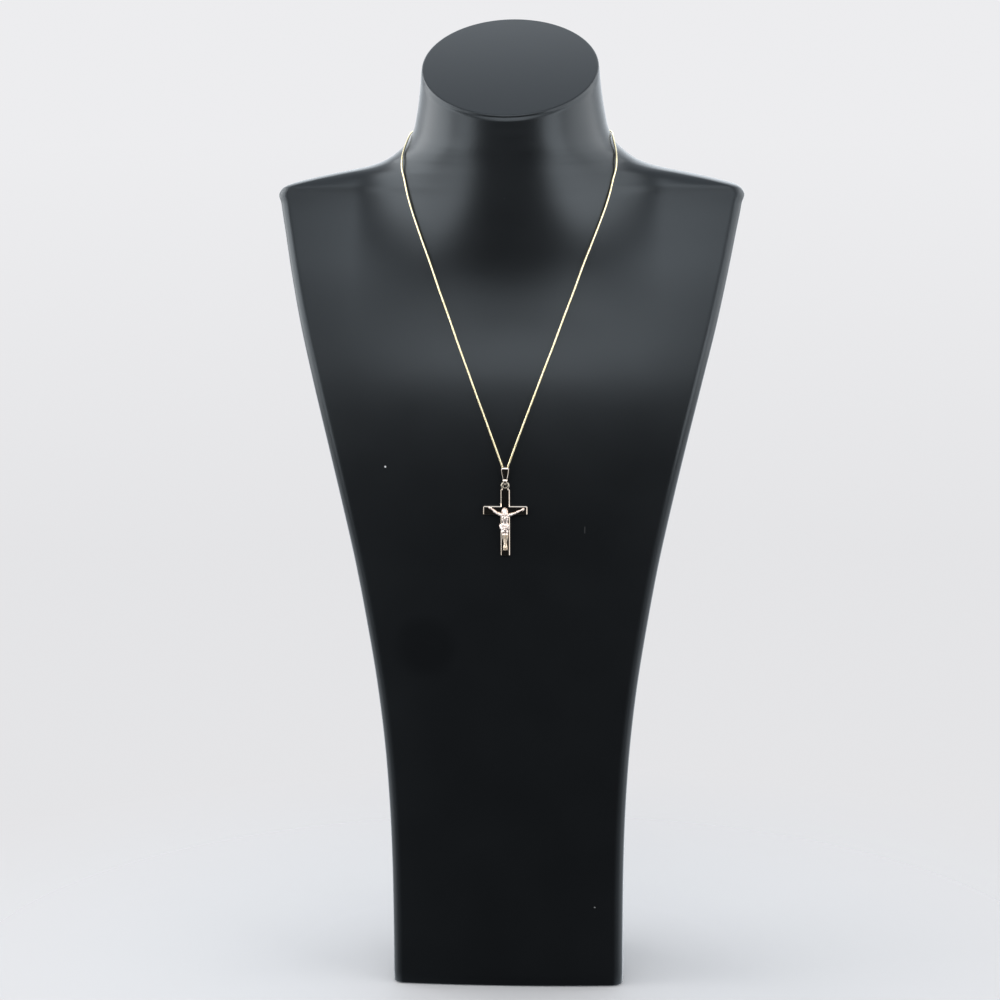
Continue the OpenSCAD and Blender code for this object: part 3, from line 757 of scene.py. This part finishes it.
HAIR = [
    ((-0.06, 0.10, 0.44), (-0.27, 0.10, 0.22), 0.070, 0.100),
    ((0.06, 0.10, 0.44), (0.27, 0.10, 0.22), 0.070, 0.100),
    ((-0.27, 0.10, 0.22), (-0.33, 0.02, -0.05), 0.100, 0.095),
    ((0.27, 0.10, 0.22), (0.33, 0.02, -0.05), 0.100, 0.095),
    ((-0.33, 0.02, -0.05), (-0.32, 0.03, -0.34), 0.095, 0.100),
    ((0.33, 0.02, -0.05), (0.32, 0.03, -0.34), 0.095, 0.100),
    ((-0.32, 0.03, -0.34), (-0.27, 0.08, -0.62), 0.100, 0.055),
    ((0.32, 0.03, -0.34), (0.27, 0.08, -0.62), 0.100, 0.055),
]
HAIR_CAP = [((0.00, -0.09, 0.17), (0.37, 0.37, 0.36))]
FACE_OPENING = ((0.00, 0.42, -0.12), (0.235, 0.42, 0.46))
PARTING = [((0.00, 0.30, 0.40), (0.00, -0.10, 0.55), 0.016, 0.016)]
STRAND_DEPTH = 0.012
STRANDS_ACROSS, STRANDS_OUT, STRANDS_UP = 95, 14, 26
BEARD_STRANDS = 0.6

# How softly forms run into each other, in the units of the body and of the head
BODY_BLEND = {"trunk": 0.020, "limbs": 0.014, "hands": 0.006, "grooves": 0.010,
              "cloth": 0.020, "folds": 0.006, "crease": 0.005, "hem": 0.003}
HEAD_BLEND = {"skull": 0.08, "sockets": 0.06, "brow": 0.035, "lids": 0.02, "lips": 0.02,
              "lines": 0.012, "beard": 0.03, "hair": 0.05, "opening": 0.03, "parting": 0.02}
# The lowest and highest corner of the space that each field fills
BODY_SPACE = ((-0.40, -0.01, -0.03), (0.46, 0.135, 1.07))
HEAD_SPACE = ((-0.48, -0.48, -0.72), (0.48, 0.45, 0.60))


def rod(p, start, end, r1, r2):
    """Distance from points p to a rod that tapers from r1 to r2."""
    start, way = np.array(start), np.subtract(end, start)
    share = np.clip(((p - start) @ way) / way.dot(way), 0, 1)
    return np.linalg.norm(p - start - share[..., None] * way, axis=-1) - (r1 + (r2 - r1) * share)


def egg(p, middle, radii):
    near = np.linalg.norm((p - middle) / radii, axis=-1)
    steep = np.linalg.norm((p - middle) / np.square(radii), axis=-1)
    return near * (near - 1) / np.maximum(steep, 1e-6)


def join(a, b, blend):
    """Union of two distances, rounded where they meet."""
    share = np.clip(0.5 + 0.5 * (b - a) / blend, 0, 1)
    return b + (a - b) * share - blend * share * (1 - share)


def window(p, item, margin):
    """The part of an even grid of points p that lies near an egg or a rod."""
    ends = np.array(item[:2]) if len(item) == 4 else np.array([np.subtract(*item), np.add(*item)])
    spare = margin + (max(item[2:]) if len(item) == 4 else 0)
    axes = (p[:, 0, 0, 0], p[0, :, 0, 1], p[0, 0, :, 2])
    return tuple(slice(*np.searchsorted(axis, (low - spare, high + spare)))
                 for axis, low, high in zip(axes, ends.min(0), ends.max(0)))


def add(field, p, shape, items, blend):
    for item in items:
        near = window(p, item, 2 * blend)
        field[near] = join(field[near], shape(p[near], *item), blend)
    return field


def cut(field, p, shape, items, blend):
    return -add(-field, p, shape, items, blend)


def empty(p):
    return np.full(p.shape[:-1], 9.0)


def body_field(p):
    blend = BODY_BLEND
    skin_field = add(empty(p), p, egg, TRUNK, blend["trunk"])
    skin_field = add(skin_field, p, rod, ARMS + LEGS, blend["limbs"])
    skin_field = add(skin_field, p, rod, NECK_ROD, blend["trunk"])
    skin_field = add(skin_field, p, egg, MUSCLES, blend["limbs"])
    skin_field = add(skin_field, p, rod, HANDS + TOES, blend["hands"])
    skin_field = cut(skin_field, p, rod, GROOVES, blend["grooves"])
    across, down = KNOT[0] - p[..., 0], KNOT[1] - p[..., 2]
    fan = np.arctan2(down, across + FOLD_FAN)
    fade = np.clip(np.hypot(across, down) / FOLD_FADE, 0, 1) * (across > -FOLD_FAN)
    drape = FOLD_DEPTH * fade * np.sin(FOLD_COUNT * fan + 1.2 * np.sin(9 * fan))
    cloth = add(empty(p), p, egg, CLOTH, blend["cloth"]) - drape
    cloth = add(cloth, p, rod, FOLDS, blend["folds"])
    cloth = cut(cloth, p, rod, CLOTH_GROOVES, blend["crease"])
    return join(skin_field, cloth, blend["hem"])


def head_field(p):
    blend = HEAD_BLEND
    face = add(empty(p), p, egg, SKULL, blend["skull"])
    face = cut(face, p, egg, SOCKETS, blend["sockets"])
    face = add(face, p, rod, FACE_RODS, blend["brow"])
    face = add(face, p, egg, LIDS, blend["lids"])
    face = add(face, p, rod, LIPS, blend["lips"])
    face = cut(face, p, rod, FACE_GROOVES, blend["lines"])
    strands = STRAND_DEPTH * np.sin(STRANDS_ACROSS * np.abs(p[..., 0]) + STRANDS_UP * p[..., 2]
                                    + STRANDS_OUT * p[..., 1])
    beard = add(empty(p), p, rod, BEARD, blend["beard"]) + BEARD_STRANDS * strands
    hair = add(add(empty(p), p, egg, HAIR_CAP, blend["hair"]), p, rod, HAIR, blend["hair"])
    hair = -join(-hair, egg(p, *FACE_OPENING), blend["opening"])
    hair = cut(hair, p, rod, PARTING, blend["parting"]) + strands
    return join(join(face, beard, blend["lips"]), hair, blend["parting"])


def surface_net(field, low, cell):
    """Quads on the zero level of a 3-D field whose corner lies at low."""
    inside = field < 0
    cells = np.zeros(tuple(n - 1 for n in field.shape), int)
    steps = [(i, j, k) for i in (0, 1) for j in (0, 1) for k in (0, 1)]
    for i, j, k in steps:
        cells += inside[i:i + cells.shape[0], j:j + cells.shape[1], k:k + cells.shape[2]]
    mixed = np.argwhere((cells > 0) & (cells < 8))
    number = np.full(cells.shape, -1)
    number[tuple(mixed.T)] = np.arange(len(mixed))
    total, count = np.zeros((len(mixed), 3)), np.zeros(len(mixed))
    for a in steps:
        for axis in range(3):
            if a[axis]:
                continue
            step = np.eye(3, dtype=int)[axis]
            start = mixed + a
            fa, fb = field[tuple(start.T)], field[tuple((start + step).T)]
            crosses = (fa < 0) != (fb < 0)
            share = np.where(crosses, fa / np.where(crosses, fa - fb, 1), 0)
            total += crosses[:, None] * (np.array(a) + share[:, None] * step)
            count += crosses
    points = low + (mixed + total / count[:, None]) * cell
    quads = []
    for axis in range(3):
        u, v = np.eye(3, dtype=int)[(axis + 1) % 3], np.eye(3, dtype=int)[(axis + 2) % 3]
        first = np.moveaxis(inside, axis, 0)
        edges = np.argwhere(first[:-1] != first[1:])
        edges = edges[:, {0: (0, 1, 2), 1: (1, 0, 2), 2: (1, 2, 0)}[axis]]
        keep = ((edges @ u > 0) & (edges @ v > 0)
                & (edges @ u < cells.shape[(axis + 1) % 3]) & (edges @ v < cells.shape[(axis + 2) % 3]))
        edges = edges[keep]
        ring = [number[tuple((edges - s).T)] for s in (u + v, v, 0 * u, u)]
        out = inside[tuple(edges.T)]
        quads.append(np.where(out[:, None], np.stack(ring, 1), np.stack(ring[::-1], 1)))
    return points, np.concatenate(quads)


def sample(shape, low, high, cell):
    """Surface of a field between two corners, in the field's own units."""
    axes = [np.arange(a, b + cell, cell) for a, b in zip(low, high)]
    grid = np.stack(np.meshgrid(*axes, indexing="ij"), axis=-1)
    return surface_net(shape(grid), np.array(low), cell)


def head_place():
    """Head's units to the body's shares."""
    bow, tilt = math.radians(HEAD_BOW), math.radians(HEAD_TILT)
    nod = np.array([[1, 0, 0],
                    [0, math.cos(bow), -math.sin(bow)],
                    [0, math.sin(bow), math.cos(bow)]])
    lean = np.array([[math.cos(tilt), 0, math.sin(tilt)],
                     [0, 1, 0],
                     [-math.sin(tilt), 0, math.cos(tilt)]])
    return lean @ nod


def make_figure():
    cell = BODY_CELL / FIGURE_H

    def flat_backed(p):
        return np.maximum(body_field(p), -p[..., 1])

    body, body_faces = sample(flat_backed, *BODY_SPACE, cell)
    cell = HEAD_CELL / (FIGURE_H * HEAD_SHARE)
    turn = head_place()
    back = np.linalg.inv(turn)

    def bowed(p):
        out = (p @ turn.T)[..., 1] * HEAD_SHARE + HEAD_AT[1]
        return np.maximum(head_field(p), -out / HEAD_SHARE)

    head, head_faces = sample(bowed, *HEAD_SPACE, cell)
    head = head @ turn.T * HEAD_SHARE + HEAD_AT
    points = np.concatenate([body, head]) * FIGURE_H
    points = np.stack([points[:, 0], FIGURE_BACK_Y - points[:, 1], points[:, 2] + SOLES_Z], axis=1)
    faces = np.concatenate([body_faces, head_faces + len(body)])[:, ::-1]
    add_mesh("crucified_figure", points, faces, figure_gold, "crucifix", "figure")


make_figure()


# Cross and clasp: the CAD solids

use("cross", cross_gold)
use("clasp", chain_gold)


# Studio

FLOOR_COLOUR = (0.43, 0.43, 0.44)
FLOOR_ROUGHNESS = 0.9
FLOOR_HALF = 0.45
# How far from the bust's middle the floor starts to fade, and where it has gone
FLOOR_FADE = (0.12, 0.42)
BACKDROP_HIGH = (0.845, 0.845, 0.862)
BACKDROP_LOW = (0.780, 0.780, 0.797)
# Heights of view between which the backdrop turns from low to high
HORIZON = (-0.17, -0.04)
ROOM_TINT = (0.88, 0.94, 1.0)
SWEEP_GLOW = 2.6
CEILING_GLOW = 0.95
TABLE_GLOW = 4.0
ROOM_GLOW = 0.007


def make_floor():
    """A pale floor that fades into the backdrop a little way from the bust."""
    half = FLOOR_HALF
    material, tree, shader = new_material("pale_floor")
    shader.inputs["Base Color"].default_value = (*FLOOR_COLOUR, 1.0)
    shader.inputs["Roughness"].default_value = FLOOR_ROUGHNESS
    away = add_node(tree, "ShaderNodeVectorMath", operation="LENGTH")
    tree.links.new(object_point(tree), away.inputs[0])
    solid = ramp(tree, away.outputs["Value"], *FLOOR_FADE, 1.0, 0.0)
    seen = add_node(tree, "ShaderNodeLightPath").outputs["Is Camera Ray"]
    tree.links.new(maths(tree, "MULTIPLY", solid, seen), shader.inputs["Alpha"])
    mesh = bpy.data.meshes.new("floor")
    corners = [(-half, -half, 0.0), (half, -half, 0.0), (half, half, 0.0), (-half, half, 0.0)]
    mesh.from_pydata(corners, [], [(0, 1, 2, 3)])
    mesh.materials.append(material)
    floor = bpy.data.objects.new("floor", mesh)
    bpy.context.scene.collection.objects.link(floor)


def make_world():
    """Pale backdrop where the camera looks; for the surfaces a dark studio with a bright
    sweep behind the bust, a dim ceiling and a pale table top out to the sides."""
    world = bpy.data.worlds.new("studio")
    bpy.context.scene.world = world
    world.use_nodes = True
    tree = world.node_tree
    shown = tree.nodes["Background"]
    split = add_node(tree, "ShaderNodeSeparateXYZ")
    tree.links.new(add_node(tree, "ShaderNodeTexCoord").outputs["Generated"], split.inputs[0])
    height = ramp(tree, split.outputs["Z"], *HORIZON, 0.0, 1.0)
    tree.links.new(mix_colour(tree, height, BACKDROP_LOW, BACKDROP_HIGH), shown.inputs["Color"])
    behind = maths(tree, "MAXIMUM", split.outputs["Y"], 0.0)
    above = maths(tree, "MAXIMUM", split.outputs["Z"], 0.0)
    below = maths(tree, "MINIMUM", split.outputs["Z"], 0.0)
    low_sides = maths(tree, "MULTIPLY", below, split.outputs["X"])
    glow = maths(tree, "ADD",
                 maths(tree, "MULTIPLY", maths(tree, "MULTIPLY", behind, behind), SWEEP_GLOW),
                 maths(tree, "MULTIPLY", maths(tree, "MULTIPLY", above, above), CEILING_GLOW))
    glow = maths(tree, "ADD", glow, maths(
        tree, "MULTIPLY", maths(tree, "MULTIPLY", low_sides, low_sides), TABLE_GLOW))
    dark = add_node(tree, "ShaderNodeBackground", Color=(*ROOM_TINT, 1.0))
    tree.links.new(maths(tree, "ADD", glow, ROOM_GLOW), dark.inputs["Strength"])
    choose = add_node(tree, "ShaderNodeMixShader")
    tree.links.new(add_node(tree, "ShaderNodeLightPath").outputs["Is Camera Ray"], choose.inputs[0])
    tree.links.new(dark.outputs[0], choose.inputs[1])
    tree.links.new(shown.outputs[0], choose.inputs[2])
    tree.links.new(choose.outputs[0], tree.nodes["World Output"].inputs["Surface"])


# Softboxes: name, place, what it faces, width, height, power
SOFTBOXES = [
    ("high", (0.0, -0.9, 1.45), (0.0, -0.05, 0.3), 1.2, 0.6, 5.7),
    ("front", (0.0, -1.35, 1.0), (0.0, -0.05, 0.28), 1.0, 0.5, 4.5),
    ("left", (-1.5, 0.15, 0.85), (0.0, 0.0, 0.3), 1.7, 1.5, 33.5),
    ("right", (1.5, 0.15, 0.85), (0.0, 0.0, 0.3), 1.7, 1.5, 22.5),
    ("left_front", (-1.15, -0.95, 0.5), (0.0, -0.05, 0.28), 0.6, 0.9, 5.6),
    ("right_front", (1.15, -0.95, 0.5), (0.0, -0.05, 0.28), 0.6, 0.9, 6.8),
    ("left_high", (-1.42, -0.75, 1.09), (-0.05, -0.01, 0.4), 0.5, 0.5, 1.5),
    ("right_high", (1.34, -0.95, 1.27), (0.05, -0.01, 0.4), 0.5, 0.5, 1.8),
    ("left_low", (-1.5, 0.05, -0.1), (0.0, -0.05, 0.25), 0.9, 0.8, 2.0),
    ("right_low", (1.5, 0.05, -0.1), (0.0, -0.05, 0.25), 0.9, 0.8, 2.4),
]


def make_lights():
    for name, place, faces, width, height, power in SOFTBOXES:
        data = bpy.data.lights.new(name, "AREA")
        data.shape = "RECTANGLE"
        data.size = width
        data.size_y = height
        data.energy = power
        light = bpy.data.objects.new(name, data)
        light.location = place
        light.rotation_euler = (Vector(faces) - Vector(place)).to_track_quat("-Z", "Y").to_euler()
        bpy.context.scene.collection.objects.link(light)


make_floor()
make_world()
make_lights()
bpy.context.scene.view_settings.view_transform = "Standard"
